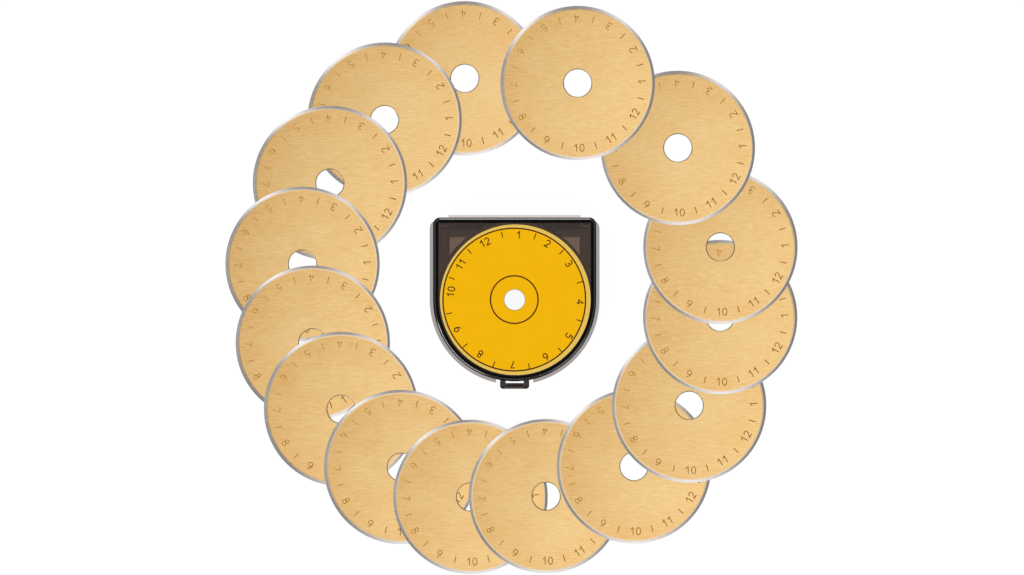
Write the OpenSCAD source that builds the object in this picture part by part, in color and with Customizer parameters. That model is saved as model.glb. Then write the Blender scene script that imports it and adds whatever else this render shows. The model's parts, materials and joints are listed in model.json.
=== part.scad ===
// Rotary cutter blade set: fifteen round blades laid in a ring about their storage case.
// Millimetres. The origin is the axis of the case's post at table height, +Z up, hinge toward +Y, latch toward -Y.

/* [Blades] */
// Diameter over the cutting edge
blade_d = 45; // [28:1:60]
// Diameter of the bore
bore_d = 8; // [5:0.5:12]
// Thickness of a blade
blade_t = 0.3; // [0.2:0.05:0.6]
// Width of the ground bevel on each face
bevel_w = 1.1; // [0.6:0.1:2]
// Height of the land left at the cutting edge
edge_land = 0.02; // [0.01:0.01:0.05]

/* [Ring of blades] */
// Space between the case wall and the nearest edge of the ring
ring_gap = 15.6; // [10:0.1:30]
// Ring centre to the right of the post
ring_dx = -1; // [-3:0.1:3]
// Ring centre behind the post
ring_dy = 3.5; // [-3:0.1:5]
// Space left between a blade and the one it lies on
lay_clear = 0.02; // [0.02:0.01:0.1]
// Direction of each blade from the ring centre, in laying order
lay_angle = [102.5, 127, 150, 173.5, 195.5, 215.5, 238.5, 259, 279.5, 304.5, 326.5, 352, 371, 400, 432];
// Extra distance of each blade from the ring centre, in laying order
lay_out = [0.7, -0.5, -0.8, -0.6, -1.8, -0.9, -0.5, 0.3, -0.2, 1.4, 0.4, -0.3, 0.3, 1.6, 0.9];

/* [Case shell] */
// Play between a stored blade and the pocket wall
pocket_clear = 0.3; // [0.2:0.05:0.8]
// Thickness of the side walls
wall_t = 0.9; // [0.6:0.1:2]
// Thickness of the floor
floor_t = 1.2; // [0.8:0.1:2]
// Thickness of the lid's top
top_t = 1.2; // [0.8:0.1:2]
// Height of the pocket over the stored stack of blades
stack_clear = 1.6; // [0.8:0.1:4]
// Space between the closed halves
parting_gap = 0.1; // [0.05:0.05:0.2]
// Rounding of the lid's top rim
rim_r = 0.9; // [0.5:0.1:1.2]
// Rounding inside the lid's rim
inner_rim = 0.6; // [0.3:0.1:0.9]
// Rounding of the base's lower edge
foot_r = 0.8; // [0.4:0.1:1]
// Radius of the back corners in plan
corner_r = 2; // [1.9:0.1:4]
// Depth of the case behind the post, beyond its half width
back_extra = 0.2; // [0:0.1:2]

/* [Pocket] */
// Height of the solid corner shelf
shelf_z = 3; // [2.5:0.1:4]
// Width of the solid corner beside the straight back of the pocket
shelf_w = 4.8; // [4:0.1:8]
// Depth of the solid shelf behind the pocket
shelf_d = 2.2; // [0.6:0.1:4]

/* [Post] */
// Play between the post and a blade's bore
post_clear = 0.1; // [0.05:0.05:0.3]
// Wall of the hollow post
post_wall = 0.9; // [0.6:0.05:1.5]
// Space between the post and the closed lid
post_gap = 0.1; // [0.05:0.05:0.3]
// Chamfer at the top of the post
post_chamfer = 0.4; // [0.1:0.05:0.6]

/* [Flange] */
// Reach of the rim flange beyond the wall
flange_w = 1; // [0.5:0.1:2]
// Thickness of the rim flange
flange_t = 0.8; // [0.4:0.1:1.2]
// Space in the flange on each side of the hasp
notch_clear = 1.15; // [0.3:0.05:3]

/* [Hinge] */
// Radius of the hinge barrel
barrel_r = 1.3; // [1.1:0.05:1.5]
// Height of the barrel over the table
barrel_lift = 1.7; // [1.5:0.1:2]
// Height of the parting over the barrel
barrel_drop = 0.3; // [0.2:0.1:1]
// Reach of the barrel's foot behind the hinge axis
barrel_foot = 1; // [0.6:0.1:1.1]
// Radius of a hinge pin
pin_r = 0.7; // [0.5:0.05:0.8]
// Length of a hinge pin
pin_l = 2.1; // [1:0.1:3]
// Radial play of a hinge pin
pin_clear = 0.1; // [0.05:0.05:0.2]
// Thickness of a lid ear
ear_t = 2.2; // [1.5:0.1:2.4]
// Width of the barrel left showing round an ear
ear_inset = 0.2; // [0.1:0.05:0.4]
// Thickness of the base's cheek outside an ear
cheek_t = 1.8; // [1.2:0.1:3]
// Space round an ear
ear_clear = 0.2; // [0.1:0.05:0.3]
// Reach of the thin back lip beyond the lid
lip_reach = 0.8; // [0.2:0.1:1.2]
// Thickness of the back lip
lip_t = 0.4; // [0.3:0.05:0.5]

/* [Hasp] */
// Width of the hasp
hasp_w = 8.5; // [7:0.1:9.5]
// Width of each leg
leg_w = 1.65; // [1.2:0.05:2.2]
// Width of the slot between the lid and the hasp's web
slot_w = 0.5; // [0.3:0.05:0.6]
// Thickness of the web between the legs
web_t = 0.6; // [0.4:0.05:0.7]
// Height of the finger tab's underside over the lid's lower edge
tab_lift = 0.2; // [0.1:0.05:0.5]
// Thickness of the finger tab at its front
tab_t = 1; // [0.6:0.1:1.2]
// Height of the hasp over the tab's underside
hasp_h = 2; // [1.5:0.1:2.2]
// Thickness of each leg's front
plate_t = 1; // [0.8:0.1:1.2]
// Reach of the legs and the web below the barbs
plate_drop = 0.45; // [0.2:0.05:0.6]
// Chamfer along the front of each leg
leg_chamfer = 0.7; // [0.2:0.1:0.8]
// Reach of each catch lug in front of the wall
lug_reach = 0.9; // [0.6:0.05:1]
// Depth of a catch lug's top below the parting
lug_drop = 1.2; // [0.9:0.1:1.4]
// Height of a catch lug
lug_h = 1; // [0.6:0.1:1.1]
// Space between a barb and a lug as they pass
barb_clear = 0.15; // [0.1:0.05:0.2]
// Height of a barb
barb_h = 0.8; // [0.5:0.1:0.9]
// Reach of a barb from the plate
barb_d = 0.15; // [0.1:0.05:0.3]
// Space under a lug for a barb
barb_gap = 0.15; // [0.1:0.05:0.2]
// Radius of the hasp's front corners in plan
hasp_round = 0.9; // [0.3:0.1:0.9]

/* [Label] */
// Width of flat lid left bare outside the label
label_inset = 0.95; // [0.3:0.05:4]
// Label's centre to the right of the post
label_dx = 0.2; // [-0.3:0.05:0.3]
// Thickness of the label
label_t = 0.15; // [0.1:0.05:0.3]
// Width of the lid left bare round the centre hole
label_margin = 0.25; // [0.1:0.05:1]

/* [Hidden] */
$fn = 96;
eps = 0.5;
blade_r = blade_d / 2;
bore_r = bore_d / 2;
flat_r = blade_r - bevel_w;
blade_count = len(lay_angle);
pocket_r = blade_r + pocket_clear;
pocket_h = blade_count * blade_t + stack_clear;
parting_z = barrel_lift + 2 * barrel_r + barrel_drop;
lid_z = parting_z + parting_gap;
lid_under = floor_t + pocket_h;
case_h = lid_under + top_t;
case_half = pocket_r + wall_t;
lid_back = case_half + back_extra;
// Hinge
axis_y = lid_back - barrel_r;
axis_z = barrel_lift + barrel_r;
ear_r = barrel_r - ear_inset;
barrel_half = case_half - cheek_t - ear_t - 2 * ear_clear;
ear_x = barrel_half + ear_clear;
pin_bore_r = pin_r + pin_clear;
lip_y = lid_back + lip_reach;
// Pocket, post and flange
inner_back = axis_y - ear_r - ear_clear - wall_t;
finger_half = case_half - shelf_w;
finger_y = inner_back - shelf_d;
post_r = bore_r - post_clear;
post_hole_r = post_r - post_wall;
post_h = lid_under - post_gap;
flange_half = case_half + flange_w;
// Hasp and catch
hasp_half = hasp_w / 2;
notch_half = hasp_half + notch_clear;
web_y = case_half + slot_w;
tab_z = lid_z + tab_lift;
hasp_top = tab_z + hasp_h;
lug_z = parting_z - lug_drop - lug_h;
leg_z = lug_z + lug_h + barb_gap;
barb_y = case_half + lug_reach + barb_clear;
barb_z = lug_z - barb_gap - barb_h;
plate_y = barb_y + barb_d;
plate_z = barb_z - plate_drop;
hasp_y = plate_y + plate_t;
// Label and ring
label_r = case_half - rim_r - label_inset;
ring_r = case_half + ring_gap + blade_r;

// Blades in laying order: each rests with the front of its flat face on the table and its back on the one before
function blade_name(k) = str("blade_", k < 9 ? "0" : "", k + 1);
function lay_centre(k) =
    [ring_dx + (ring_r + lay_out[k]) * cos(lay_angle[k]), ring_dy + (ring_r + lay_out[k]) * sin(lay_angle[k])];
function unit(v) = v / norm(v);
function side(v) = [-v[1], v[0]];
// A rest plane is [centre, way it was slid, height of its front, slope]
function rest_z(plane, p) = plane[2] + plane[3] * (flat_r - (p - plane[0]) * plane[1]);
// Points on the outline of the overlap of two flat faces: its two corners and both arcs
function lens(a, b) =
    let(d = norm(b - a), m = (a + b) / 2, w = sqrt(max(0, flat_r * flat_r - d * d / 4)), s = side(unit(b - a)))
    d >= 2 * flat_r ? [] : concat(
        [m + w * s, m - w * s],
        [for (t = [0:4:356]) let(p = a + flat_r * [cos(t), sin(t)]) if (norm(p - b) <= flat_r) p],
        [for (t = [0:4:356]) let(p = b + flat_r * [cos(t), sin(t)]) if (norm(p - a) <= flat_r) p]);
function slope_over(below, c, u, h) =
    [for (plane = below, p = lens(plane[0], c))
        (rest_z(plane, p) + blade_t + lay_clear - h) / max(0.1, flat_r - (p - c) * u)];
function rest_plane(k, below) =
    let(c = lay_centre(k),
        u = k == 0 ? side(unit(c)) : unit(c - lay_centre(k - 1)),
        h = k == blade_count - 1 ? blade_t + lay_clear : 0)
    [c, u, h, max(concat([0], slope_over(below, c, u, h)))];
function lay_all(k, below) = k == blade_count ? below : lay_all(k + 1, concat(below, [rest_plane(k, below)]));
rest = lay_all(0, []);

// Half section of a block with its upper outer edge rounded
module edge_profile(w, h, f) {
    square([w, h - f]);
    square([w - f, h]);
    translate([w - f, h - f]) intersection() {
        circle(f);
        square(f);
    }
}

// D-shaped block: half round in front, straight sides, square back with rounded corners, rounded upper edge
module d_block(half, back, corner, h, f) {
    rotate([0, 0, 180]) rotate_extrude(angle = 180) edge_profile(half, h, f);
    translate([0, back - corner, 0]) rotate([90, 0, 0]) linear_extrude(back - corner) {
        edge_profile(half, h, f);
        mirror([1, 0]) edge_profile(half, h, f);
    }
    for (s = [0, 1])
        mirror([s, 0, 0]) translate([half - corner, back - corner, 0])
            rotate_extrude(angle = 90) edge_profile(corner, h, f);
    translate([corner - half, back - corner, 0]) rotate([90, 0, 90])
        linear_extrude(2 * (half - corner)) edge_profile(corner, h, f);
}

// The same on both sides of the case
module both_sides() {
    children();
    mirror([1, 0, 0]) children();
}

// A profile drawn in Y and Z, drawn out along X from x0 for a length
module along_x(x0, length) {
    translate([x0, 0, 0]) rotate([90, 0, 90]) linear_extrude(length) children();
}

// Ring of the rim flange, with its gap for the hasp
module flange() {
    z0 = parting_z - flange_t;
    inner = case_half - wall_t / 2;
    difference() {
        union() {
            translate([0, 0, z0]) rotate([0, 0, 180]) rotate_extrude(angle = 180)
                translate([inner, 0]) square([flange_half - inner, flange_t]);
            both_sides() {
                translate([inner, 0, z0]) cube([flange_half - inner, axis_y - corner_r, flange_t]);
                translate([case_half - corner_r, axis_y - corner_r, z0]) rotate_extrude(angle = 45)
                    translate([corner_r - wall_t / 2, 0]) square([flange_half - inner, flange_t]);
            }
        }
        translate([-notch_half, -2 * case_half, 0]) cube([2 * notch_half, 1.5 * case_half, case_h]);
    }
}

// Room for the stored blades, with its straight back, and the wider room above the corner shelf
module pocket() {
    translate([0, 0, floor_t]) linear_extrude(case_h) {
        circle(pocket_r);
        translate([-finger_half, 0]) square([2 * finger_half, finger_y]);
    }
    translate([-pocket_r, 0, shelf_z]) cube([2 * pocket_r, inner_back, case_h]);
}

// Hinge barrel on a foot that joins it to the floor and the back lip
module hinge_barrel() {
    along_x(-barrel_half, 2 * barrel_half) {
        translate([axis_y, axis_z]) circle(barrel_r);
        translate([axis_y - corner_r, 0]) square([corner_r + barrel_foot, axis_z]);
    }
}

module case_base() {
    color([0.25, 0.22, 0.2, 0.8])
    difference() {
        union() {
            difference() {
                union() {
                    translate([0, 0, parting_z]) mirror([0, 0, 1])
                        d_block(case_half, axis_y, corner_r, parting_z, foot_r);
                    hinge_barrel();
                }
                pocket();
                // Room for the lid's ears beside the barrel
                both_sides()
                    translate([barrel_half, axis_y - ear_r - ear_clear, axis_z - ear_r - ear_clear])
                        cube([ear_t + 2 * ear_clear, 2 * ear_r + lid_back, case_h]);
            }
            translate([-barrel_half, axis_y - corner_r, 0])
                cube([2 * barrel_half, lip_y - axis_y + corner_r, lip_t]);
            flange();
            // Catch lugs with a sloped top for the barbs to ride over
            both_sides() along_x(hasp_half - leg_w + barb_clear, leg_w - 2 * barb_clear)
                polygon([[wall_t / 2 - case_half, lug_z], [-case_half - lug_reach, lug_z],
                         [-case_half - lug_reach, lug_z + lug_h / 2], [wall_t / 2 - case_half, lug_z + lug_h]]);
            cylinder(r = post_r, h = post_h - post_chamfer);
            translate([0, 0, post_h - post_chamfer])
                cylinder(r1 = post_r, r2 = post_r - post_chamfer, h = post_chamfer);
        }
        translate([0, 0, -eps]) cylinder(r = post_hole_r, h = case_h);
        both_sides() along_x(barrel_half - pin_l - ear_clear, pin_l + ear_clear + eps)
            translate([axis_y, axis_z]) circle(pin_bore_r);
    }
}

// Ear on the right side, with its hinge pin
module ear() {
    along_x(ear_x, ear_t) {
        translate([axis_y, axis_z]) circle(ear_r);
        translate([axis_y, axis_z]) square([barrel_r - wall_t / 2, lid_under + top_t / 2 - axis_z]);
    }
    along_x(ear_x - pin_l, pin_l + ear_t / 2) translate([axis_y, axis_z]) circle(pin_r);
}

// Leg on the right side of the hasp: over the lug, down in front of it, and a barb below it
module hasp_leg() {
    inner = case_half + barb_clear;
    along_x(hasp_half - leg_w, leg_w)
        polygon([[wall_t / 2 - case_half, tab_z], [wall_t / 2 - case_half, hasp_top],
                 [leg_chamfer - hasp_y, hasp_top], [-hasp_y, hasp_top - leg_chamfer], [-hasp_y, plate_z],
                 [-plate_y, plate_z], [-plate_y, barb_z], [-barb_y, barb_z + barb_h / 2],
                 [-barb_y, barb_z + barb_h], [-plate_y, barb_z + barb_h], [-plate_y, leg_z], [-inner, leg_z],
                 [-inner, tab_z]]);
}

// Hasp: two legs, a web between them that hangs past the slot, and a finger tab that slopes forward from it
module hasp() {
    intersection() {
        union() {
            both_sides() hasp_leg();
            along_x(leg_w - hasp_half, hasp_w - 2 * leg_w)
                polygon([[-web_y, plate_z], [-web_y, hasp_top], [-web_y - web_t, hasp_top],
                         [-hasp_y, tab_z + tab_t], [-hasp_y, tab_z], [-web_y - web_t, tab_z],
                         [-web_y - web_t, plate_z]]);
        }
        linear_extrude(case_h) {
            translate([-hasp_half, hasp_round - hasp_y]) square([hasp_w, hasp_y]);
            translate([hasp_round - hasp_half, -hasp_y]) square([hasp_w - 2 * hasp_round, hasp_y]);
            both_sides() translate([hasp_half - hasp_round, hasp_round - hasp_y]) circle(hasp_round);
        }
    }
}

module case_lid() {
    color([0.2, 0.17, 0.16, 0.8])
    union() {
        difference() {
            translate([0, 0, lid_z]) d_block(case_half, lid_back, corner_r, case_h - lid_z, rim_r);
            translate([0, 0, lid_z - eps])
                d_block(pocket_r, lid_back - wall_t, corner_r - wall_t, lid_under - lid_z + eps, inner_rim);
            translate([0, 0, lid_under - eps]) cylinder(r = post_hole_r, h = case_h);
        }
        both_sides() ear();
        hasp();
    }
}

module label() {
    color([0.95, 0.72, 0.05])
    translate([0, 0, case_h]) difference() {
        translate([label_dx, 0, 0]) cylinder(r = label_r, h = label_t);
        translate([0, 0, -eps]) cylinder(r = post_hole_r + label_margin, h = label_t + 2 * eps);
    }
}

// Turned section of a blade: flat faces, a bevel on each and a narrow land at the edge
module blade_shape() {
    low = (blade_t - edge_land) / 2;
    rotate_extrude()
        polygon([[bore_r, 0], [flat_r, 0], [blade_r, low], [blade_r, low + edge_land], [flat_r, blade_t],
                 [bore_r, blade_t]]);
}

module blade(k) {
    plane = rest[k];
    tilt = atan(plane[3]);
    u = plane[1];
    color([0.86, 0.7, 0.44])
    translate([plane[0][0], plane[0][1], plane[2] + flat_r * sin(tilt)])
        rotate(tilt, [-u[1], u[0], 0]) blade_shape();
}

case_base();
case_lid();
label();
for (k = [0:blade_count - 1])
    blade(k);
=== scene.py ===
"""Looks of fifteen round rotary-cutter blades, laid in a ring about their smoky storage case.

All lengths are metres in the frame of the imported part: +Z up, the axis of the case's post at the origin, the
hinge toward +Y. Blades, label and marks are new surfaces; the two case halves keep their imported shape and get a
finish.
"""

from __future__ import annotations

import json
import logging
import math
from dataclasses import dataclass, field
from enum import Enum, IntEnum
from typing import Any, Union

import bpy
import numpy as np
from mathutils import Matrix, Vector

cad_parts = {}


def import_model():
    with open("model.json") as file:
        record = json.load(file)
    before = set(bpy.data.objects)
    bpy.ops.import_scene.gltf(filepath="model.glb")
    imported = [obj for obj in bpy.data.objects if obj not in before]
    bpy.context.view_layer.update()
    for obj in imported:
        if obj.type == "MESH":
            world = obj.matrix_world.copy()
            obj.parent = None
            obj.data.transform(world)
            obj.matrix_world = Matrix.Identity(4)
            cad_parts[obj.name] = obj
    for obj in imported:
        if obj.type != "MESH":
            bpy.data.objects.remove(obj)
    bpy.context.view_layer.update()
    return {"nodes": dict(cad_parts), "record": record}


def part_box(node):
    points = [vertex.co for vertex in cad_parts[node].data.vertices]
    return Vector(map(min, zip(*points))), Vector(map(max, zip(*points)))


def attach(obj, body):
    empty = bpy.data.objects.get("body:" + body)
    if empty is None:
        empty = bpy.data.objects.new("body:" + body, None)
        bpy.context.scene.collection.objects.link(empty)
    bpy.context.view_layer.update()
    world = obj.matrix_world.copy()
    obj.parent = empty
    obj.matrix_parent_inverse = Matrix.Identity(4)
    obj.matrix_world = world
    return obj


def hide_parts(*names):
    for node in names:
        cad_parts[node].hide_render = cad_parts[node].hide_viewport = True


MM = 1e-3
# Least cosine of half a bend that a bar's mitre still follows
MITRE_LEAST = 0.4
LOG = logging.getLogger("blade_set")

Colour = tuple[float, float, float, float]
# Length of a noise grain along each axis, in millimetres
Grain = tuple[float, float, float]
# Where a smooth step starts and where it is full
Span = tuple[float, float]


def rgb(red: int, green: int, blue: int) -> Colour:
    """Linear colour of an sRGB triple: each part over 255, with the sRGB curve undone.

    Args:
        red, green, blue: parts from 0 to 255.

    Returns:
        The linear parts and an alpha of 1.
    """
    part = np.array([red, green, blue]) / 255.0
    linear = np.where(part <= 0.04045, part / 12.92, ((part + 0.055) / 1.055) ** 2.4)
    return (float(linear[0]), float(linear[1]), float(linear[2]), 1.0)


class Sock:
    """An output socket for use in Python arithmetic: each operator adds one Math node to its graph."""

    def __init__(self, graph: Graph, socket: bpy.types.NodeSocket) -> None:
        """Wrap one output socket of a graph."""
        self.graph = graph
        self.socket = socket

    def _math(self, operation: str, first: Number, second: Number = 0.0) -> Sock:
        """Add a Math node.

        Args:
            operation: the node's operation.
            first, second: numbers or sockets, in the node's order.

        Returns:
            The node's output.
        """
        return self.graph.node("ShaderNodeMath", {"operation": operation}, {0: first, 1: second})

    def __add__(self, other: Number) -> Sock:
        """Sum."""
        return self._math("ADD", self, other)

    def __radd__(self, other: Number) -> Sock:
        """Sum with a number on the left."""
        return self._math("ADD", other, self)

    def __sub__(self, other: Number) -> Sock:
        """Difference."""
        return self._math("SUBTRACT", self, other)

    def __rsub__(self, other: Number) -> Sock:
        """Difference from a number."""
        return self._math("SUBTRACT", other, self)

    def __mul__(self, other: Number) -> Sock:
        """Product."""
        return self._math("MULTIPLY", self, other)

    def __rmul__(self, other: Number) -> Sock:
        """Product with a number on the left."""
        return self._math("MULTIPLY", other, self)

    def __truediv__(self, other: Number) -> Sock:
        """Quotient."""
        return self._math("DIVIDE", self, other)

    def __rtruediv__(self, other: Number) -> Sock:
        """Quotient of a number by this value."""
        return self._math("DIVIDE", other, self)

    def __pow__(self, other: Number) -> Sock:
        """Power."""
        return self._math("POWER", self, other)

    def __rpow__(self, other: Number) -> Sock:
        """Power of a number."""
        return self._math("POWER", other, self)

    def at_least(self, limit: Number) -> Sock:
        """The greater of this value and a limit."""
        return self._math("MAXIMUM", self, limit)

    def rise(self, start: float, end: float) -> Sock:
        """Smooth step from 0 at start to 1 at end, held flat outside them."""
        return self.graph.node(
            "ShaderNodeMapRange",
            {"interpolation_type": "SMOOTHSTEP"},
            {"Value": self, "From Min": start, "From Max": end},
        )


Number = Union[float, Sock]


class Graph:
    """Node tree of one material or world, emptied and filled again through a single method."""

    def __init__(self, tree: bpy.types.NodeTree) -> None:
        """Take over a tree and remove the nodes that it came with."""
        self.tree = tree
        tree.nodes.clear()

    def node(
        self,
        kind: str,
        settings: dict[str, Any] | None = None,
        inputs: dict[str | int, Any] | None = None,
        out: str | int = 0,
    ) -> Sock | None:
        """Add one node.

        Args:
            kind: the node's type.
            settings: attributes of the node, set before its sockets.
            inputs: values or sockets by input name or number.
            out: the output to return.

        Returns:
            That output, or None for a node without outputs.
        """
        made = self.tree.nodes.new(kind)
        for name, value in (settings or {}).items():
            setattr(made, name, value)
        for name, value in (inputs or {}).items():
            if isinstance(value, Sock):
                self.tree.links.new(value.socket, made.inputs[name])
            else:
                made.inputs[name].default_value = value
        return Sock(self, made.outputs[out]) if made.outputs else None

    def axes(self, vector: Sock) -> tuple[Sock, Sock, Sock]:
        """The three parts of a vector."""
        parts = self.node("ShaderNodeSeparateXYZ", None, {0: vector}).socket.node
        return Sock(self, parts.outputs[0]), Sock(self, parts.outputs[1]), Sock(self, parts.outputs[2])

    def place(self) -> Sock:
        """The surface point in the object's own metres."""
        return self.node("ShaderNodeTexCoord", out="Object")

    def own_map(self, name: str) -> Sock:
        """A map that the piece's mesh carries."""
        return self.node("ShaderNodeUVMap", {"uv_map": name})

    def noise(self, at: Sock, grain_mm: Grain, detail: float = 2.0) -> Sock:
        """Noise about 0.5 with grains of a given size.

        Args:
            at: the point, in metres.
            grain_mm: length of a grain along each axis, in millimetres.
            detail: octaves of finer noise.

        Returns:
            The noise value.
        """
        scale = tuple(1.0 / (size * MM) for size in grain_mm)
        scaled = self.node("ShaderNodeMapping", None, {"Vector": at, "Scale": scale})
        return self.node("ShaderNodeTexNoise", None, {"Vector": scaled, "Scale": 1.0, "Detail": detail})

    def blend(self, share: Number, low: Any, high: Any) -> Sock:
        """Mix of two colours.

        Args:
            share: how much of the second colour, 0 to 1.
            low, high: colours or colour sockets.

        Returns:
            The mixed colour.
        """
        return self.node("ShaderNodeMix", {"data_type": "RGBA"}, {0: share, 6: low, 7: high}, out=2)

    def bump(self, height: Sock, depth_mm: float, strength: float) -> Sock:
        """Normal bent by a height between 0 and 1 of a given depth in millimetres."""
        bend = {"Strength": strength, "Distance": depth_mm * MM, "Height": height}
        return self.node("ShaderNodeBump", None, bend)

    def surface(self, inputs: dict[str | int, Any]) -> Sock:
        """The Principled shader with the given inputs."""
        return self.node("ShaderNodeBsdfPrincipled", None, inputs)


def new_material(name: str) -> tuple[bpy.types.Material, Graph]:
    """A new material and its emptied graph.

    Args:
        name: the material's name.

    Returns:
        The material and the graph to fill.
    """
    made = bpy.data.materials.new(name)
    made.use_nodes = True
    return made, Graph(made.node_tree)


def close_material(graph: Graph, surface: Sock, volume: Sock | None = None) -> None:
    """Join the finished shaders to the material's output.

    Args:
        graph: the material's graph.
        surface: the surface shader.
        volume: the shader of the inside, if it has one.
    """
    ends = {"Surface": surface}
    if volume is not None:
        ends["Volume"] = volume
    graph.node("ShaderNodeOutputMaterial", None, ends)


@dataclass(frozen=True)
class GoldCoat:
    """Gold coating on brushed steel: short fine streaks along X, a slow cloud and painted light, brighter to the
    lower right.
    """

    name: str = "gold_coat"
    # Painted shade and painted light: shaded upper-left and lit lower-right copies of the coating's two tones
    deep_left: Colour = rgb(218, 165, 92)
    pale_left: Colour = rgb(238, 206, 147)
    deep_right: Colour = rgb(246, 188, 112)
    pale_right: Colour = rgb(255, 229, 168)
    # How fast the painted light grows toward the right and toward the front
    brighter_right: float = 1.0
    brighter_front: float = 0.55
    paleness: float = 0.6
    deeper_out: float = 0.82
    streak_mm: Grain = (2.8, 0.3, 2.8)
    streak_share: float = 0.85
    hair_mm: Grain = (1.4, 0.16, 1.4)
    hair_share: float = 0.6
    cloud_mm: Grain = (14.0, 9.0, 14.0)
    cloud_share: float = 0.35
    streak_in_grain: float = 0.6
    roughness: float = 0.23
    rough_spread: float = 0.05
    brush_mm: float = 0.004
    brush_strength: float = 0.15

    def material(self) -> bpy.types.Material:
        """The coating's material.

        Returns:
            A metal whose colour, roughness and normal follow the brushing, with painted light brighter to the
            lower right.
        """
        made, g = new_material(self.name)
        at = g.place()
        streak = g.noise(at, self.streak_mm, detail=3.0)
        hair = g.noise(at, self.hair_mm)
        cloud = g.noise(at, self.cloud_mm, detail=1.0)
        across, up, _ = g.axes(g.own_map("face"))
        right, back = across - 0.5, up - 0.5
        # Painted light: the same lean on every blade, from the shaded upper left to the lit lower right
        lean = 0.5 + self.brighter_right * right - self.brighter_front * back
        brushed = self.streak_share * (streak - 0.5) + self.hair_share * (hair - 0.5)
        clouded = self.cloud_share * (cloud - 0.5) - self.deeper_out * (right * right + back * back)
        share = self.paleness + brushed + clouded
        # Shaded and lit copies of the coating, mixed below by the painted lean
        dim = g.blend(share, self.deep_left, self.pale_left)
        bright = g.blend(share, self.deep_right, self.pale_right)
        grain = self.streak_in_grain * streak + (1.0 - self.streak_in_grain) * hair
        close_material(g, g.surface({
            "Base Color": g.blend(lean, dim, bright),
            "Metallic": 1.0,
            "Roughness": self.roughness - self.rough_spread * (grain - 0.5),
            "Normal": g.bump(grain, self.brush_mm, self.brush_strength),
        }))
        return made


@dataclass(frozen=True)
class GroundSteel:
    """Steel of the ground bevel and edge, with fine marks of the wheel across it."""

    name: str = "ground_steel"
    grey: Colour = rgb(213, 207, 205)
    white: Colour = rgb(240, 237, 236)
    mark_mm: Grain = (0.12, 1.6, 1.0)
    mark_span: Span = (0.3, 0.7)
    roughness: float = 0.14
    rough_spread: float = 0.12
    groove_mm: float = 0.002
    groove_strength: float = 0.2

    def material(self) -> bpy.types.Material:
        """The ground bevel's material.

        Returns:
            A bright metal with wheel marks that run from the flat to the edge.
        """
        made, g = new_material(self.name)
        mark = g.noise(g.own_map("grind"), self.mark_mm, detail=3.0)
        close_material(g, g.surface({
            "Base Color": g.blend(mark.rise(*self.mark_span), self.grey, self.white),
            "Metallic": 1.0,
            "Roughness": self.roughness + self.rough_spread * (mark - 0.5),
            "Normal": g.bump(mark, self.groove_mm, self.groove_strength),
        }))
        return made


@dataclass(frozen=True)
class PunchedEdge:
    """Dull grey steel of the punched bore and its broken edge, spotted with a little of the coating, and darker
    as painted shade at the bore's mouth.
    """

    name: str = "punched_edge_and_shade"
    # Darker grey than the bevel: dull punched steel, and painted shade for the dark line round the bore's mouth
    grey: Colour = rgb(152, 137, 110)
    spotted: Colour = rgb(188, 160, 110)
    spot_mm: Grain = (0.4, 0.4, 0.2)
    spot_span: Span = (0.5, 0.75)
    roughness: float = 0.38
    rough_spread: float = 0.2

    def material(self) -> bpy.types.Material:
        """The bore's material.

        Returns:
            A dull metal with warmer spots, darker than the bevel as painted shade at the bore's mouth.
        """
        made, g = new_material(self.name)
        spot = g.noise(g.place(), self.spot_mm)
        close_material(g, g.surface({
            "Base Color": g.blend(spot.rise(*self.spot_span), self.grey, self.spotted),
            "Metallic": 1.0,
            "Roughness": self.roughness + self.rough_spread * (spot - 0.5),
        }))
        return made


@dataclass(frozen=True)
class EtchedMark:
    """Brown etched figures on the coating, deeper toward the lower right and worn a little thin in places."""

    name: str = "etched_mark"
    dark: Colour = rgb(128, 78, 4)
    worn: Colour = rgb(196, 150, 70)
    wear: float = 0.5
    deeper_right: float = 0.9
    deeper_front: float = 0.65
    patch_mm: Grain = (0.5, 0.4, 0.5)
    patch_share: float = 0.5
    metal: float = 0.35
    roughness: float = 0.45
    rough_spread: float = 0.2
    shine: float = 0.08

    def material(self) -> bpy.types.Material:
        """The etching's material.

        Returns:
            A dull brown whose depth of colour changes across the blade and in small patches.
        """
        made, g = new_material(self.name)
        patch = g.noise(g.place(), self.patch_mm)
        across, up, _ = g.axes(g.own_map("face"))
        lean = self.deeper_right * (across - 0.5) - self.deeper_front * (up - 0.5)
        share = self.wear - lean + self.patch_share * (patch - 0.5)
        close_material(g, g.surface({
            "Base Color": g.blend(share, self.dark, self.worn),
            "Metallic": self.metal,
            "Roughness": self.roughness + self.rough_spread * patch,
            "Specular IOR Level": self.shine,
        }))
        return made


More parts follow.
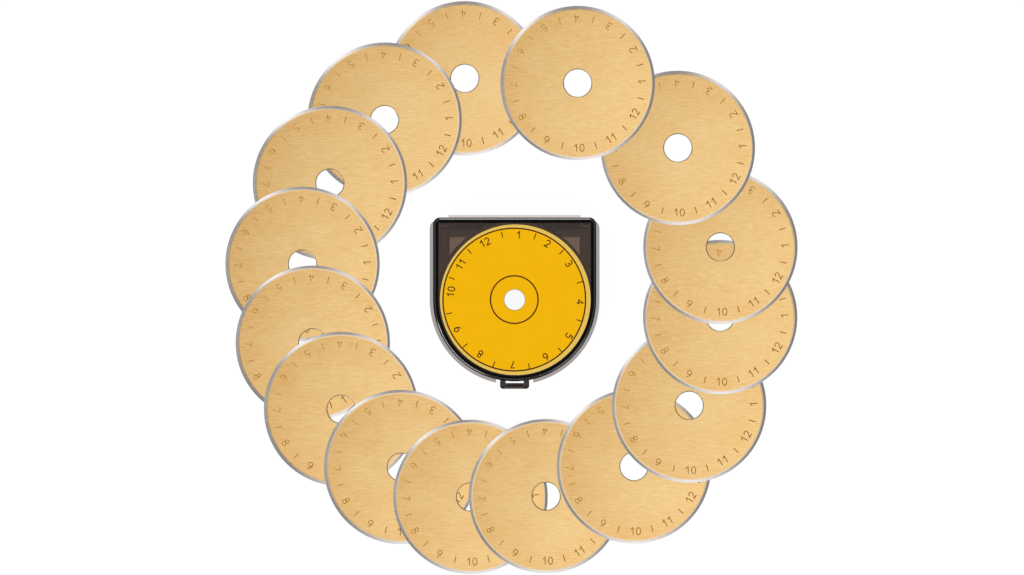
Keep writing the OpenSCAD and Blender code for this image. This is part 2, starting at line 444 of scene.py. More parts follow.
@dataclass(frozen=True)
class SmokePlastic:
    """Clear gloss plastic that takes up light in its depth, with painted shade: an opaque black on the lid's rim
    and a dark ring beside the label.
    """

    name: str = "smoke_plastic_gloss"
    clear: Colour = (0.99, 0.985, 0.98, 1.0)
    flow: Colour = (0.95, 0.94, 0.93, 1.0)
    skirt: Colour = (0.71, 0.76, 0.83, 1.0)
    # Painted shade: colour of the ring beside the label, over the pocket's wall
    shaded: Colour = (0.09, 0.045, 0.006, 1.0)
    # Painted shade: opaque black for the lid's rim, where the thick wall looks dark from above
    deep: Colour = (0.004, 0.003, 0.003, 1.0)
    passes: Colour = (0.375, 0.23, 0.11, 1.0)
    per_metre: float = 1300.0
    ior: float = 1.38
    roughness: float = 0.03
    flow_mm: Grain = (26.0, 7.0, 9.0)
    flow_span: Span = (0.35, 0.75)
    flow_rough: float = 0.015
    scuff_mm: Grain = (3.5, 0.2, 2.0)
    scuff_span: Span = (0.66, 0.84)
    scuff_rough: float = 0.03
    rim_rough: float = 0.3
    rim_scuff_rough: float = 0.1
    rim_shine: float = 0.012
    edge_rough: float = 0.14
    edge_ior: float = 1.8
    rim_in: Span = (22.0 * MM, 22.25 * MM)
    rim_foot: Span = (7.32 * MM, 7.4 * MM)
    edge_foot: Span = (8.32 * MM, 8.37 * MM)
    edge_top: Span = (8.48 * MM, 8.5 * MM)
    wall_out: Span = (23.7 * MM, 23.8 * MM)
    skirt_foot: Span = (1.0 * MM, 1.5 * MM)
    # Where the ring of painted shade beside the label lies
    ring_in: Span = (21.5 * MM, 21.7 * MM)
    ring_out: Span = (22.8 * MM, 22.9 * MM)
    ring_foot: Span = (8.3 * MM, 8.4 * MM)
    back_shift: float = 0.2 * MM

    def bands(self, g: Graph, at: Sock) -> tuple[Sock, Sock, Sock, Sock]:
        """How far a point is part of the lid's rim, of its round edge, of the skirt and of the label's ring.

        The reach of a point is its distance from the post in front of it, its distance from the middle line
        behind it, and its depth behind the post less the back shift, whichever is greatest.

        Args:
            g: the material's graph.
            at: the surface point.

        Returns:
            Four shares from 0 to 1: the rim above its foot, where opaque black is painted as shade; the round
                edge
            just below the rim's flat top; the flange and hasp that stand out from the walls above the floor; and
            the ring of the lid's top beside the label, above the pocket's wall, where shade is painted.
        """
        x, y, z = g.axes(at)
        ahead = (0.0 - y).at_least(0.0)
        reach = ((x * x + ahead * ahead) ** 0.5).at_least(y - self.back_shift)
        # Share of the rim where opaque black is painted as shade
        rim = reach.rise(*self.rim_in) * z.rise(*self.rim_foot)
        bent = z.rise(*self.edge_foot) - z.rise(*self.edge_top)
        out = reach.rise(*self.wall_out) * z.rise(*self.skirt_foot)
        away = (x * x + y * y) ** 0.5
        # Share of the ring of painted shade beside the label
        beside = (away.rise(*self.ring_in) - away.rise(*self.ring_out)) * z.rise(*self.ring_foot)
        return rim, bent, out, beside

    def material(self) -> bpy.types.Material:
        """The plastic's material.

        Returns:
            A transmitting surface over an absorbing inside, with painted shade: a darker ring beside the label
            and an opaque black gloss on the rim.
        """
        made, g = new_material(self.name)
        at = g.place()
        flow = g.noise(at, self.flow_mm)
        scuff = g.noise(at, self.scuff_mm, detail=3.0).rise(*self.scuff_span)
        rim, bent, out, beside = self.bands(g, at)
        body = g.blend(flow.rise(*self.flow_span), self.clear, self.flow)
        clear = g.surface({
            # Painted shade darkens the ring beside the label
            "Base Color": g.blend(beside, g.blend(out, body, self.skirt), self.shaded),
            "Roughness": self.roughness + self.scuff_rough * scuff + self.flow_rough * flow,
            "IOR": self.ior,
            "Transmission Weight": 1.0,
        })
        # Painted shade: an opaque black gloss on the rim in place of the clear plastic, with a coat for the
        # lamps' highlight lines
        dark = g.surface({
            "Base Color": self.deep,
            "Roughness": self.rim_rough + self.rim_scuff_rough * scuff,
            "Specular IOR Level": self.rim_shine,
            "Coat Weight": bent,
            "Coat Roughness": self.edge_rough,
            "Coat IOR": self.edge_ior,
        })
        surface = g.node("ShaderNodeMixShader", None, {0: rim, 1: clear, 2: dark})
        smoke = {"Color": self.passes, "Density": self.per_metre}
        close_material(g, surface, g.node("ShaderNodeVolumeAbsorption", None, smoke))
        return made


@dataclass(frozen=True)
class LabelPaper:
    """Yellow printed paper with a pale border outside its outer circle, fibres and a paler edge in flecks."""

    name: str = "label_paper_print"
    yellow: Colour = rgb(232, 173, 5)
    sunny: Colour = rgb(236, 178, 11)
    border: Colour = rgb(222, 185, 84)
    # Paler colour of the label's cut edge
    rubbed: Colour = rgb(230, 200, 118)
    fibre_mm: Grain = (0.35, 0.16, 0.3)
    fibre_share: float = 0.7
    cloud_mm: Grain = (5.0, 5.0, 5.0)
    cloud_share: float = 1.1
    border_in: Span = (20.65 * MM, 20.8 * MM)
    rim_in: Span = (21.6 * MM, 21.85 * MM)
    rub_span: Span = (0.4, 0.6)
    # Middle of the label along X, and centre of its print, about the post
    middle: float = 0.2 * MM
    print_at: tuple[float, float] = (-0.11 * MM, 0.05 * MM)
    roughness: float = 0.42
    rough_spread: float = 0.2
    shine: float = 0.04
    nap_mm: float = 0.008
    nap_strength: float = 0.2

    def material(self) -> bpy.types.Material:
        """The label's material.

        Returns:
            A paper whose print follows the distance from the print's centre, and whose paler edge follows the
            distance from the label's.
        """
        made, g = new_material(self.name)
        at = g.place()
        x, y, _ = g.axes(at)
        off, right, back = x - self.middle, x - self.print_at[0], y - self.print_at[1]
        away = (off * off + y * y) ** 0.5
        inked = (right * right + back * back) ** 0.5
        fibre = g.noise(at, self.fibre_mm, detail=3.0)
        cloud = g.noise(at, self.cloud_mm)
        share = 0.5 + self.cloud_share * (cloud - 0.5) + self.fibre_share * (fibre - 0.5)
        ground = g.blend(share, self.yellow, self.sunny)
        ringed = g.blend(inked.rise(*self.border_in), ground, self.border)
        # Paler in flecks toward the label's cut edge
        paler_edge_share = away.rise(*self.rim_in) * fibre.rise(*self.rub_span)
        close_material(g, g.surface({
            "Base Color": g.blend(paler_edge_share, ringed, self.rubbed),
            "Roughness": self.roughness + self.rough_spread * (fibre - 0.5),
            "Specular IOR Level": self.shine,
            "Normal": g.bump(fibre, self.nap_mm, self.nap_strength),
        }))
        return made


@dataclass(frozen=True)
class PrintedInk:
    """Dark brown printing ink, a little uneven where the paper's fibres show through."""

    name: str = "printed_ink"
    dark: Colour = rgb(49, 13, 2)
    thin: Colour = rgb(92, 49, 6)
    spot_mm: Grain = (0.3, 0.3, 0.3)
    spot_span: Span = (0.45, 0.8)
    roughness: float = 0.4
    rough_spread: float = 0.2
    shine: float = 0.12

    def material(self) -> bpy.types.Material:
        """The ink's material.

        Returns:
            A dull ink with thin spots.
        """
        made, g = new_material(self.name)
        spot = g.noise(g.place(), self.spot_mm)
        close_material(g, g.surface({
            "Base Color": g.blend(spot.rise(*self.spot_span), self.dark, self.thin),
            "Roughness": self.roughness + self.rough_spread * spot,
            "Specular IOR Level": self.shine,
        }))
        return made


@dataclass(frozen=True)
class LitTable:
    """White table top that glows softly, as a light table does."""

    name: str = "lit_table"
    glow: float = 0.93
    shade: float = 0.1
    cloudy: float = 0.02
    cloud_mm: Grain = (40.0, 40.0, 40.0)
    roughness: float = 0.9

    def material(self) -> bpy.types.Material:
        """The table's material.

        Returns:
            A dull white that gives light and keeps a trace of shadow.
        """
        made, g = new_material(self.name)
        cloud = g.noise(g.place(), self.cloud_mm)
        duller, brighter = ((grey, grey, grey, 1.0) for grey in (self.shade, self.shade + self.cloudy))
        close_material(g, g.surface({
            "Base Color": g.blend(cloud, duller, brighter),
            "Roughness": self.roughness,
            "Specular IOR Level": 0.0,
            "Emission Color": (1.0, 1.0, 1.0, 1.0),
            "Emission Strength": self.glow,
        }))
        return made


@dataclass
class Shape:
    """Points and four-sided faces of a surface."""

    points: np.ndarray
    faces: np.ndarray

    def joined(self, other: Shape) -> Shape:
        """This shape and another as one: the other's faces are renumbered past this one's points."""
        moved = other.faces + len(self.points)
        return Shape(np.vstack([self.points, other.points]), np.vstack([self.faces, moved]))

    def mesh(self, name: str) -> bpy.types.Mesh:
        """A smooth-shaded mesh of the shape.

        Args:
            name: the mesh's name.

        Returns:
            The mesh, filled from whole arrays.
        """
        made = bpy.data.meshes.new(name)
        made.vertices.add(len(self.points))
        made.vertices.foreach_set("co", self.points.astype(np.float32).ravel())
        made.loops.add(self.faces.size)
        made.loops.foreach_set("vertex_index", self.faces.astype(np.int32).ravel())
        made.polygons.add(len(self.faces))
        made.polygons.foreach_set("loop_start", np.arange(0, self.faces.size, 4, dtype=np.int32))
        made.polygons.foreach_set("use_smooth", np.ones(len(self.faces), dtype=bool))
        made.update(calc_edges=True)
        made.validate()
        return made


def grid_faces(rows: int, columns: int, round_rows: bool) -> np.ndarray:
    """Faces of a grid of points whose columns close on themselves.

    Face (i, j) joins points (i, j), (i+1, j), (i+1, j+1) and (i, j+1); j counts round the columns, and i counts
    round the rows where they close too.

    Args:
        rows, columns: points along and round the grid.
        round_rows: whether the last row joins the first.

    Returns:
        Point numbers, four to a face.
    """
    i, j = np.meshgrid(np.arange(rows if round_rows else rows - 1), np.arange(columns), indexing="ij")
    below, beside = (i + 1) % rows, (j + 1) % columns
    corners = [i * columns + j, below * columns + j, below * columns + beside, i * columns + beside]
    return np.stack(corners, axis=-1).reshape(-1, 4)


def turned(profile: np.ndarray, turns: int) -> Shape:
    """A closed profile turned once about Z.

    Point (i, j) is profile point j, (radius, height), at angle 2 pi i / turns: x = radius cos, y = radius sin and
    z = height. The profile runs anticlockwise with radius to the right and height up, so faces point out.

    Args:
        profile: radius and height of each profile point.
        turns: steps round the axis.

    Returns:
        The turned ring.
    """
    angle = 2.0 * np.pi * np.arange(turns)[:, None] / turns
    radius, height = profile[None, :, 0], profile[None, :, 1]
    grid = np.stack([radius * np.cos(angle), radius * np.sin(angle), height + 0.0 * angle], axis=-1)
    return Shape(grid.reshape(-1, 3), grid_faces(turns, len(profile), True))


def ribbon(path: np.ndarray, width: float, thick: float, closed: bool) -> Shape:
    """A flat bar carried along a path in the plane.

    At each path point the bar spreads half its width to both sides along the mitre, the mean of the normals of
    the two path steps there, lengthened by 1 / cos of half the bend; it rises from 0 to its thickness.

    Args:
        path: points of the path in X and Y.
        width, thick: the bar's section.
        closed: whether the path's end joins its start.

    Returns:
        The bar, with a face over each open end.
    """
    step = np.roll(path, -1, axis=0) - path
    step /= np.linalg.norm(step, axis=1, keepdims=True)
    before = np.roll(step, 1, axis=0)
    if not closed:
        before[0], step[-1] = step[0], before[-1]
    mean = step + before
    mean /= np.linalg.norm(mean, axis=1, keepdims=True)
    reach = 0.5 * width / np.maximum(MITRE_LEAST, (mean * step).sum(axis=1, keepdims=True))
    left = np.stack([-mean[:, 1], mean[:, 0]], axis=1) * reach
    sides = np.stack([path + left, path - left, path - left, path + left], axis=1)
    rise = np.broadcast_to(np.array([0.0, 0.0, thick, thick])[None, :, None], (len(path), 4, 1))
    grid = np.concatenate([sides, rise], axis=-1)
    faces = grid_faces(len(path), 4, closed)
    if not closed:
        last = 4 * (len(path) - 1)
        faces = np.vstack([faces, [[0, 1, 2, 3], [last + 3, last + 2, last + 1, last]]])
    return Shape(grid.reshape(-1, 3), faces)


class Tops(Enum):
    """Which way the tops of a ring of figures point."""

    INWARD = -1.0
    OUTWARD = 1.0


class Count(Enum):
    """Which way round the figures of a ring count up, seen from above."""

    CLOCKWISE = -1.0
    ANTICLOCKWISE = 1.0


def arc(cx: float, cy: float, rx: float, ry: float, start: float, end: float, steps: int = 14) -> np.ndarray:
    """Part of an ellipse: centre plus (rx cos a, ry sin a) for evenly spaced angles a, in degrees."""
    a = np.radians(np.linspace(start, end, steps))
    return np.stack([cx + rx * np.cos(a), cy + ry * np.sin(a)], axis=1)


def strokes(*points: tuple[float, float]) -> np.ndarray:
    """A bent line through the given points."""
    return np.array(points)


@dataclass(frozen=True)
class Figures:
    """Plain single-line figures in a cell one unit high, for the numbers of a dial."""

    cell: float = 0.62
    gap: float = 0.22

    def digit(self, value: int) -> list[tuple[np.ndarray, bool]]:
        """The strokes of one digit.

        Args:
            value: 0 to 9.

        Returns:
            Each stroke's path and whether it closes on itself.
        """
        hook = arc(0.64, 0.3, 0.62, 0.72, 180, 108)
        bowl = arc(0.31, 0.3, 0.29, 0.3, 0, 348, 22)
        drawn: dict[int, list[tuple[np.ndarray, bool]]] = {
            0: [(arc(0.31, 0.5, 0.29, 0.5, 0, 348, 26), True)],
            1: [(strokes((0.06, 0.72), (0.4, 1.0), (0.4, 0.0)), False)],
            2: [(np.vstack([arc(0.3, 0.71, 0.28, 0.29, 165, -28), strokes((0.02, 0.0), (0.6, 0.0))]), False)],
            3: [(np.vstack([arc(0.29, 0.755, 0.25, 0.245, 150, -90),
                            arc(0.29, 0.26, 0.3, 0.26, 88, -150)]), False)],
            4: [(strokes((0.44, 0.0), (0.44, 1.0), (0.02, 0.3), (0.62, 0.3)), False)],
            5: [(np.vstack([strokes((0.55, 1.0), (0.12, 1.0), (0.07, 0.57)),
                            arc(0.3, 0.325, 0.3, 0.325, 118, -150)]), False)],
            6: [(bowl, True), (hook, False)],
            7: [(strokes((0.03, 1.0), (0.58, 1.0), (0.2, 0.0)), False)],
            8: [(arc(0.31, 0.755, 0.23, 0.245, 0, 342, 20), True),
                (arc(0.31, 0.255, 0.29, 0.255, 0, 342, 20), True)],
            9: [(np.array([self.cell, 1.0]) - bowl, True), (np.array([self.cell, 1.0]) - hook, False)],
        }
        return drawn[value]

    def number(self, value: int) -> list[tuple[np.ndarray, bool]]:
        """The strokes of a whole number, centred on the origin.

        Args:
            value: the number.

        Returns:
            Each stroke's path and whether it closes on itself.
        """
        text = str(value)
        total = len(text) * self.cell + (len(text) - 1) * self.gap
        placed = []
        for column, letter in enumerate(text):
            shift = np.array([column * (self.cell + self.gap) - total / 2.0, -0.5])
            placed += [(path + shift, closed) for path, closed in self.digit(int(letter))]
        return placed


@dataclass(frozen=True)
class Dial:
    """A ring of twelve numbers with a radial tick midway between each two."""

    first_angle: float
    count: Count
    tops: Tops
    figure_r: float
    figure_h: float
    line: float
    tick_in: float
    tick_out: float
    tick_line: float
    drift: tuple[float, ...] = (0.0,) * 12
    tick_drift: tuple[float, ...] = (0.0,) * 12
    tick_shift: tuple[float, float] = (0.0, 0.0)
    thick: float = 0.01 * MM
    tick_points: int = 3
    last: int = 12
    figures: Figures = field(default_factory=Figures)

    def shape(self) -> Shape:
        """The dial lying on the plane z = 0.

        Number n stands n - 1 steps on from the first angle, plus its own drift, with its top along or against
        the radius; its strokes are x across + y up, with across = up turned by -90 degrees. A tick is a radial
        bar half a step further on, plus its own drift, and all ticks may be shifted together.

        Returns:
            All bars as one shape.
        """
        bars = []
        pitch = math.radians(360.0 / self.last) * self.count.value
        for value in range(1, self.last + 1):
            even = math.radians(self.first_angle) + pitch * (value - 1)
            angle = even + math.radians(self.drift[value - 1])
            out = np.array([math.cos(angle), math.sin(angle)])
            up = out * self.tops.value
            across = np.array([up[1], -up[0]])
            for path, closed in self.figures.number(value):
                spread = (path[:, :1] * across + path[:, 1:] * up) * self.figure_h
                bars.append(ribbon(spread + out * self.figure_r, self.line, self.thick, closed))
            half = even + pitch / 2.0 + math.radians(self.tick_drift[value - 1])
            ray = np.array([math.cos(half), math.sin(half)])
            along = np.linspace(self.tick_in, self.tick_out, self.tick_points)[:, None]
            tick = along * ray + np.array(self.tick_shift)
            bars.append(ribbon(tick, self.tick_line, self.thick, False))
        whole = bars[0]
        for bar in bars[1:]:
            whole = whole.joined(bar)
        return whole


def show(
    name: str, mesh: bpy.types.Mesh, finishes: list[bpy.types.Material], body: str
) -> bpy.types.Object:
    """Put a mesh in the scene as a piece that rides on a body.

    Args:
        name: the piece's name.
        mesh: its mesh, placed in the part's frame.
        finishes: its materials, in the order of the faces' finish numbers.
        body: the body that it moves with.

    Returns:
        The new object.
    """
    for finish in finishes:
        mesh.materials.append(finish)
    piece = bpy.data.objects.new(name, mesh)
    bpy.context.scene.collection.objects.link(piece)
    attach(piece, body)
    LOG.info("%s: %d faces on %s", name, len(mesh.polygons), body)
    return piece


class BladeFinish(IntEnum):
    """Number of a blade's finish on its faces."""

    GOLD = 0
    STEEL = 1
    PUNCHED = 2
    THINNED = 3


@dataclass
class BladeRing:
    """The fifteen loose blades, each turned about the axis of its own packed bore."""

    gold: bpy.types.Material
    steel: bpy.types.Material
    punched: bpy.types.Material
    thinned: bpy.types.Material
    etch: bpy.types.Material
    radius: float = 22.5 * MM
    bevel: float = 1.1 * MM
    shoulder_in: float = 0.05 * MM
    shoulder_out: float = 0.36 * MM
    shoulder_drop: float = 0.0251 * MM
    land: float = 0.02 * MM
    break_wide: float = 0.27 * MM
    break_deep: float = 0.1 * MM
    bands: tuple[BladeFinish, ...] = (
        BladeFinish.GOLD, BladeFinish.THINNED, BladeFinish.STEEL, BladeFinish.STEEL, BladeFinish.STEEL,
        BladeFinish.THINNED, BladeFinish.GOLD, BladeFinish.PUNCHED, BladeFinish.PUNCHED, BladeFinish.PUNCHED,
    )
    turns: int = 240
    dial: Dial = Dial(first_angle=1.2, count=Count.ANTICLOCKWISE, tops=Tops.INWARD, figure_r=18.87 * MM,
                      figure_h=2.1 * MM, line=0.24 * MM, tick_in=17.9 * MM, tick_out=19.85 * MM,
                      tick_line=0.25 * MM)

    def profile(self, bore: float, thick: float) -> np.ndarray:
        """Half section of a blade about its middle plane: bore, flats, narrow shoulders, bevels and edge land.

        Args:
            bore: radius of the bore.
            thick: thickness between the flat faces.

        Returns:
            Radius and height of each corner, anticlockwise from the lower mouth of the bore.
        """
        half, flat = thick / 2.0, self.radius - self.bevel
        inner, outer, drop = flat - self.shoulder_in, flat + self.shoulder_out, half - self.shoulder_drop
        mouth, wall, land = bore + self.break_wide, half - self.break_deep, self.land / 2.0
        return np.array([
            (mouth, -half), (inner, -half), (outer, -drop), (self.radius, -land), (self.radius, land),
            (outer, drop), (inner, half), (mouth, half), (bore, wall), (bore, -wall),
        ])

    @staticmethod
    def seated(points: np.ndarray, centre: np.ndarray, axis: np.ndarray) -> np.ndarray:
        """Points carried from the blade's own axes to where it lies.

        The turn takes Z to the axis by the shortest way: p + v x p + v x (v x p) / (1 + c), where v is Z x axis
        and c is the axis's Z part.

        Args:
            points: points about the blade's own centre, Z along its bore.
            centre, axis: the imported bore's middle and direction.

        Returns:
            The points in the part's frame.
        """
        lean = np.array([-axis[1], axis[0], 0.0])
        once = np.cross(lean, points)
        return points + once + np.cross(lean, once) / (1.0 + axis[2]) + centre

    def face_map(self, mesh: bpy.types.Mesh, own: np.ndarray) -> np.ndarray:
        """Give a mesh the map of the blade's face: (x, y) over the diameter plus a half.

        Args:
            mesh: the mesh of a blade or of its dial.
            own: its points about the blade's own centre.

        Returns:
            The place of each face corner on the blade's own x and y.
        """
        loop_point = np.empty(len(mesh.loops), dtype=np.int32)
        mesh.loops.foreach_get("vertex_index", loop_point)
        flat = own[loop_point, :2]
        face = mesh.uv_layers.new(name="face")
        face.data.foreach_set("uv", (flat / (2 * self.radius) + 0.5).astype(np.float32).ravel())
        return flat

    def mapped(self, mesh: bpy.types.Mesh, own: np.ndarray, corners: int) -> None:
        """Give a blade its maps, its finish numbers and the hard edges at its profile's corners.

        The grind map is (angle times radius, radius), counted per corner so that it doesn't jump at the seam: of
        a face's four corners, the middle two lie one turn further on.

        Args:
            mesh: the blade's mesh.
            own: its points about the blade's own centre.
            corners: points in the profile.
        """
        faces = len(mesh.polygons)
        flat = self.face_map(mesh, own)
        turn = np.repeat(np.arange(faces) // corners, 4) + np.tile([0, 1, 1, 0], faces)
        arc_length = turn * (2 * np.pi * self.radius / self.turns)
        away = np.linalg.norm(flat, axis=1)
        grind = mesh.uv_layers.new(name="grind")
        grind.data.foreach_set("uv", np.stack([arc_length, away], axis=1).astype(np.float32).ravel())
        mesh.uv_layers.active = mesh.uv_layers["face"]
        bands = np.array(self.bands, dtype=np.int32)
        mesh.polygons.foreach_set("material_index", np.tile(bands, self.turns))
        ends = np.empty(len(mesh.edges) * 2, dtype=np.int32)
        mesh.edges.foreach_get("vertices", ends)
        row = ends.reshape(-1, 2) % corners
        hard = mesh.attributes.new("sharp_edge", "BOOLEAN", "EDGE")
        hard.data.foreach_set("value", row[:, 0] == row[:, 1])

    def build(self, mounts: list[dict[str, Any]]) -> None:
        """Make every blade and its dial where its packed bore is.

        Args:
            mounts: the record's mounts, which give each bore's middle, axis and size.
        """
        dial = self.dial.shape()
        finishes = [self.gold, self.steel, self.punched, self.thinned]
        for mount in mounts:
            node = mount["name"].removesuffix("_bore")
            if not node.startswith("blade_"):
                continue
            centre, axis = np.array(mount["pos_m"]), np.array(mount["axis"])
            thick = mount["dims"]["length_mm"] * MM
            profile = self.profile(mount["dims"]["r_mm"] * MM, thick)
            disc = turned(profile, self.turns)
            mesh = Shape(self.seated(disc.points, centre, axis), disc.faces).mesh(node + "_disc")
            self.mapped(mesh, disc.points, len(profile))
            piece = show(node + "_disc", mesh, finishes, node)
            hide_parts(node)
            raised = dial.points + np.array([0.0, 0.0, thick / 2.0])
            marks = Shape(self.seated(raised, centre, axis), dial.faces).mesh(node + "_dial")
            self.face_map(marks, dial.points)
            show(node + "_dial", marks, [self.etch], node)


@dataclass
class StorageCase:
    """The two halves of the hinged case, kept as packed, and the printed label on the lid."""

    smoke: bpy.types.Material
    paper: bpy.types.Material
    ink: bpy.types.Material
    line: bpy.types.Material
    label_hole: float = 3.1 * MM
    label_t: float = 0.15 * MM
    glue: float = 0.005 * MM
    edge_break: float = 0.02 * MM
    hard_angle: float = 30.0
    turns: int = 240
    circle_steps: int = 180
    circle_line: float = 0.4 * MM
    # Radii of the two printed circles, and their centre about the label's middle
    circles: tuple[float, float] = (20.7 * MM, 6.9 * MM)
    circle_shift: tuple[float, float] = (-0.31 * MM, 0.05 * MM)
    dial: Dial = Dial(first_angle=87.0, count=Count.CLOCKWISE, tops=Tops.OUTWARD, figure_r=18.8 * MM,
                      figure_h=2.0 * MM, line=0.3 * MM, tick_in=18.6 * MM, tick_out=20.42 * MM,
                      tick_line=0.28 * MM, drift=(0, 3, 7, 1, -1, 1, 1, 0, 0, -4, 0, 1),
                      tick_drift=(0.9, 4.4, 3.8, 0.8, 0.4, 0, -0.5, -0.1, -1.1, -1.5, 0.9, -0.8),
                      tick_shift=(-0.05 * MM, -0.26 * MM))

    def dress(self, nodes: dict[str, Any]) -> None:
        """Give both packed halves the smoky plastic.

        Args:
            nodes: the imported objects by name.
        """
        for name in ("case_base", "case_lid"):
            for slot in nodes[name].material_slots:
                slot.material = self.smoke
            LOG.info("%s: packed shape in %s", name, self.smoke.name)

    def circle(self, radius: float) -> Shape:
        """A printed circle: a bar carried round evenly spaced points of a circle."""
        end = 360.0 - 360.0 / self.circle_steps
        path = arc(*self.circle_shift, radius, radius, 0, end, self.circle_steps)
        return ribbon(path, self.circle_line, self.dial.thick, True)

    def build(self) -> None:
        """Make the label and its print on the lid.

        The rim's points stand about the label's own middle and the hole's about the post: each profile point is
        moved toward the label's middle by (radius - hole) / (rim - hole) of the way.
        """
        low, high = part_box("label")
        middle, rim = (low.x + high.x) / 2.0, (high.x - low.x) / 2.0
        hole, cut = self.label_hole, self.edge_break
        foot, top = low.z + self.glue, low.z + self.label_t
        profile = np.array([
            (hole, foot), (rim, foot), (rim, top - cut), (rim - cut, top), (hole + cut, top), (hole, top - cut),
        ])
        disc = turned(profile, self.turns)
        share = (np.hypot(disc.points[:, 0], disc.points[:, 1]) - hole) / (rim - hole)
        disc.points[:, 0] += middle * share
        mesh = disc.mesh("lid_label")
        mesh.set_sharp_from_angle(angle=math.radians(self.hard_angle))
        piece = show("lid_label", mesh, [self.paper], "lid")
        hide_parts("label")
        outer, inner = (self.circle(radius) for radius in self.circles)
        prints = {
            "lid_label_dial": (self.dial.shape(), self.ink),
            "lid_label_circles": (outer.joined(inner), self.line),
        }
        for name, (flat, finish) in prints.items():
            raised = Shape(flat.points + np.array([middle, 0.0, top]), flat.faces)
            show(name, raised.mesh(name), [finish], "lid")


@dataclass(frozen=True)
class Lobe:
    """A bright side of the soft ceiling: the way it lies, how narrow it is and how much light it adds."""

    angle: float
    sharpness: float
    light: float


@dataclass(frozen=True)
class Strip:
    """A long lamp far away: a row of round lamps, with the angle of each and the strength of one."""

    name: str
    angles: tuple[float, ...]
    strength: float
    height: float = 28.0
    width: float = 17.0


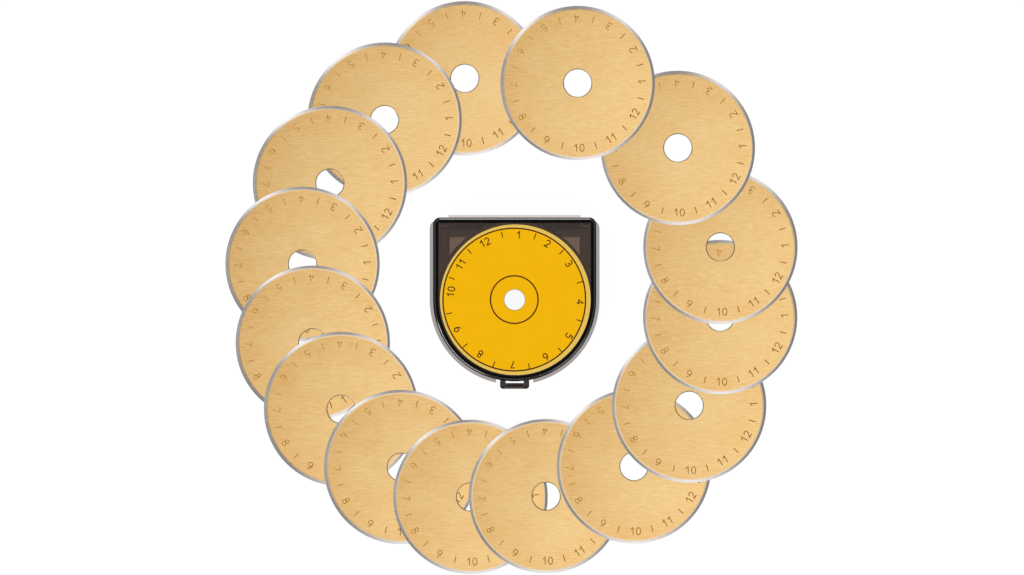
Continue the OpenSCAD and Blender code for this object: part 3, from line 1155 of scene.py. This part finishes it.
@dataclass
class Studio:
    """White table, soft ceiling, three long lamps and a camera that looks straight down."""

    table: bpy.types.Material
    eye: tuple[float, float, float] = (-0.76 * MM, 3.56 * MM, 2.0)
    view_w: float = 298.5 * MM
    sensor: float = 36.0
    far: float = 100.0
    near_pole: float = 1e-4
    table_z: float = -0.1 * MM
    table_half: float = 1.5
    table_steps: int = 8
    zenith: float = 1.13
    ring: float = 0.28
    side: float = 0.8
    dome: float = 0.2
    cap_lean: float = 3.0
    cap_angle: float = 325.0
    cap_edge: Span = (10.5, 7.5)
    ring_edge: Span = (30.0, 21.0)
    side_foot: Span = (86.0, 78.0)
    side_head: Span = (55.0, 44.0)
    lobes: tuple[Lobe, ...] = (
        Lobe(60, 26, 0.85), Lobe(106, 40, 0.12), Lobe(130, 28, 1.15), Lobe(185, 9, 0.22), Lobe(280, 8, 0.92),
    )
    strips: tuple[Strip, ...] = (
        Strip("back_lamp", (90,), 1.0), Strip("left_lamp", (205, 222, 239), 0.7),
        Strip("right_lamp", (305, 322), 0.29),
    )

    def lay_table(self) -> None:
        """A flat grid of the table's size: x and y evenly spaced, z level."""
        steps, row = self.table_steps, self.table_steps + 1
        line = np.linspace(-self.table_half, self.table_half, row)
        x, y = np.meshgrid(line, line, indexing="ij")
        points = np.stack([x, y, np.full_like(x, self.table_z)], axis=-1).reshape(-1, 3)
        i, j = np.meshgrid(np.arange(steps), np.arange(steps), indexing="ij")
        corner = (i * row + j).ravel()
        faces = np.stack([corner, corner + row, corner + row + 1, corner + 1], axis=1)
        mesh = Shape(points, faces).mesh("table")
        mesh.materials.append(self.table)
        table = bpy.data.objects.new("table", mesh)
        bpy.context.scene.collection.objects.link(table)

    @staticmethod
    def cosines(edge: Span) -> Span:
        """Cosines of the two angles from straight up, in degrees, where a part of the ceiling fades in."""
        return math.cos(math.radians(edge[0])), math.cos(math.radians(edge[1]))

    def hang_ceiling(self) -> None:
        """Light by direction: a cap overhead, a ring with brighter sides, and a dim dome with a low band.

        A side adds light times (cosine of the turn from its angle, where positive) to the power of its
        sharpness. The cap's middle leans a few degrees from straight up toward its own angle.
        """
        world = bpy.data.worlds.new("soft_ceiling")
        world.use_nodes = True
        bpy.context.scene.world = world
        g = Graph(world.node_tree)
        x, y, z = g.axes(g.node("ShaderNodeTexCoord", out="Generated"))
        away = ((x * x + y * y) ** 0.5).at_least(self.near_pole)
        ring = self.ring
        for lobe in self.lobes:
            turn = math.radians(lobe.angle)
            toward = (x * math.cos(turn) + y * math.sin(turn)) / away
            ring = ring + lobe.light * toward.at_least(0.0) ** lobe.sharpness
        in_ring = z.rise(*self.cosines(self.ring_edge))
        lean, way = math.radians(self.cap_lean), math.radians(self.cap_angle)
        near = z * math.cos(lean) + (x * math.cos(way) + y * math.sin(way)) * math.sin(lean)
        in_cap = near.rise(*self.cosines(self.cap_edge))
        in_side = z.rise(*self.cosines(self.side_foot)) - z.rise(*self.cosines(self.side_head))
        under = self.dome + (self.side - self.dome) * in_side + (ring - self.dome) * in_ring
        light = under + (self.zenith - under) * in_cap
        colour = g.node("ShaderNodeCombineXYZ", None, {0: light, 1: light, 2: light})
        back = g.node("ShaderNodeBackground", None, {"Color": colour, "Strength": 1.0})
        g.node("ShaderNodeOutputWorld", None, {"Surface": back})

    def light_lamps(self) -> None:
        """Set the long lamps: each round lamp shines from its own angle and height to the origin."""
        for strip in self.strips:
            data = bpy.data.lights.new(strip.name, "SUN")
            data.energy = strip.strength
            data.angle = math.radians(strip.width)
            for angle in strip.angles:
                made = bpy.data.objects.new(f"{strip.name}_{angle}", data)
                made.rotation_euler = (0.0, math.radians(90.0 - strip.height), math.radians(angle))
                bpy.context.scene.collection.objects.link(made)

    def set_camera(self) -> None:
        """Hang the camera over the set; its lens is sensor times height over the width seen."""
        data = bpy.data.cameras.new("overhead")
        data.sensor_width = self.sensor
        data.lens = self.sensor * self.eye[2] / self.view_w
        data.clip_end = self.far
        made = bpy.data.objects.new("overhead", data)
        made.location = self.eye
        bpy.context.scene.collection.objects.link(made)
        bpy.context.scene.camera = made

    def build(self) -> None:
        """Set the whole studio."""
        bpy.context.scene.view_settings.view_transform = "Standard"
        self.lay_table()
        self.hang_ceiling()
        self.light_lamps()
        self.set_camera()


def main() -> None:
    """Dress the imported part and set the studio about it."""
    logging.basicConfig(level=logging.INFO, format="%(message)s")
    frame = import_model()
    thinned = GroundSteel("thinned_coat", rgb(222, 194, 154), rgb(236, 211, 174))
    blades = BladeRing(GoldCoat().material(), GroundSteel().material(), PunchedEdge().material(),
                       thinned.material(), EtchedMark().material())
    blades.build(frame["record"]["mounts"])
    line = PrintedInk("printed_line", rgb(64, 10, 0), rgb(94, 26, 2))
    case = StorageCase(SmokePlastic().material(), LabelPaper().material(), PrintedInk().material(),
                       line.material())
    case.dress(frame["nodes"])
    case.build()
    Studio(LitTable().material()).build()


if __name__ == "__main__":
    main()
